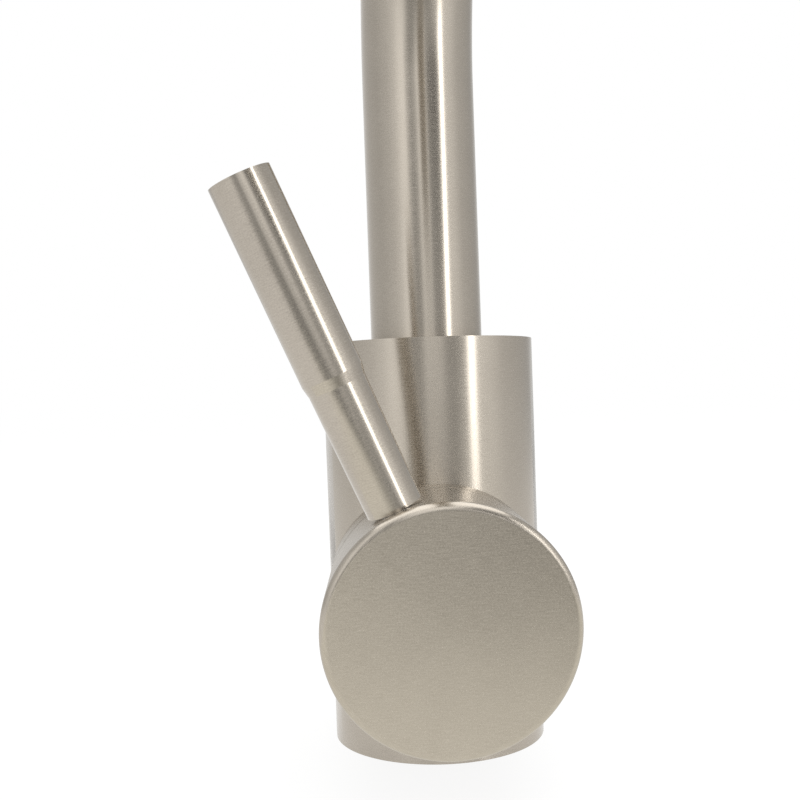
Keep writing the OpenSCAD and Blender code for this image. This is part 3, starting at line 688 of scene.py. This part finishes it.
def world():
    """White all round for the lens and for reflections, and a little softer as light."""
    sky = bpy.data.worlds.new("studio_white")
    bpy.context.scene.world = sky
    sky.use_nodes = True
    tree = sky.node_tree
    glow = tree.nodes["Background"]
    glow.inputs["Color"].default_value = (1, 1, 1, 1)
    tree.links.new(between(tree, background_rays(tree), SKY_AS_LIGHT, 1.0),
                   glow.inputs["Strength"])


def lamp(name, place, aim, side, power):
    """A soft square lamp at place that faces aim, which reflections don't see."""
    data = bpy.data.lights.new(name, "AREA")
    data.shape, data.size, data.energy = "SQUARE", side, power
    made = linked(name, data)
    made.location = place
    made.rotation_euler = (Vector(aim) - Vector(place)).to_track_quat("-Z", "Y").to_euler()
    made.visible_camera = made.visible_glossy = False


# ---------------------------------------------------------------- camera

# Fitted to the photograph: the lens's place, how far it looks right, looks down and leans, in
# radians, and its focal length in pixels of a picture that is PHOTO_PX wide.
LENS_PLACE = (-11.70 * MM, -240.66 * MM, 77.51 * MM)
LENS_RIGHT, LENS_DOWN, LENS_LEAN = 0.02130, 0.00588, 0.03514
FOCAL_PX = 1043.9
PHOTO_PX = 800
SENSOR_MM = 36
NEAREST = 0.01                   # the lens draws nothing that is closer


def camera():
    """The camera at the photograph's angle."""
    data = bpy.data.cameras.new("camera")
    data.sensor_width = SENSOR_MM
    data.lens = FOCAL_PX / PHOTO_PX * SENSOR_MM
    data.clip_start = NEAREST
    made = linked("camera", data)
    ahead = Vector((math.sin(LENS_RIGHT) * math.cos(LENS_DOWN),
                    math.cos(LENS_RIGHT) * math.cos(LENS_DOWN), -math.sin(LENS_DOWN)))
    level = Vector((math.cos(LENS_RIGHT), -math.sin(LENS_RIGHT), 0))
    down = ahead.cross(level)
    right = level * math.cos(LENS_LEAN) + down * math.sin(LENS_LEAN)
    down = down * math.cos(LENS_LEAN) - level * math.sin(LENS_LEAN)
    made.matrix_world = (Matrix.Translation(LENS_PLACE)
                         @ Matrix((right, -down, -ahead)).transposed().to_4x4())
    bpy.context.scene.camera = made


# ---------------------------------------------------------------- all together

def dress_the_frame():
    """Gives every node that keeps its own shape the finish of its slot."""
    finishes = small_finishes()
    for part in frame["record"]["subparts"]:
        if part["material_slot"] in finishes:
            piece = frame["nodes"][part["node"]]
            piece.data.materials.clear()
            piece.data.materials.append(finishes[part["material_slot"]])


def main():
    """The lens, the pieces and the studio."""
    camera()
    dress_the_frame()
    dressed(body_of_column_and_barrel(), "root", "body_shell",
            brushed_steel("brushed_stainless_body"))
    dressed(hub_block(), "handle", "hub", brushed_steel("brushed_stainless_hub"))
    dressed(lever(), "handle", "lever_rod",
            brushed_steel("brushed_stainless_lever", roughness=0.2, uneven=0.6))
    dressed(spout(), "spout", "spout_tube",
            brushed_steel("brushed_stainless_tube"))
    world()
    floor()
    lens_shade()
    for name, (low, high, cards) in SCREENS.items():
        screen(name, low, high, cards)
    lamp("overhead_softbox", place=(0.1, -0.25, 0.9), aim=(0, 0, 0.05), side=0.8, power=6)
    bpy.context.scene.view_settings.view_transform = "Standard"


main()
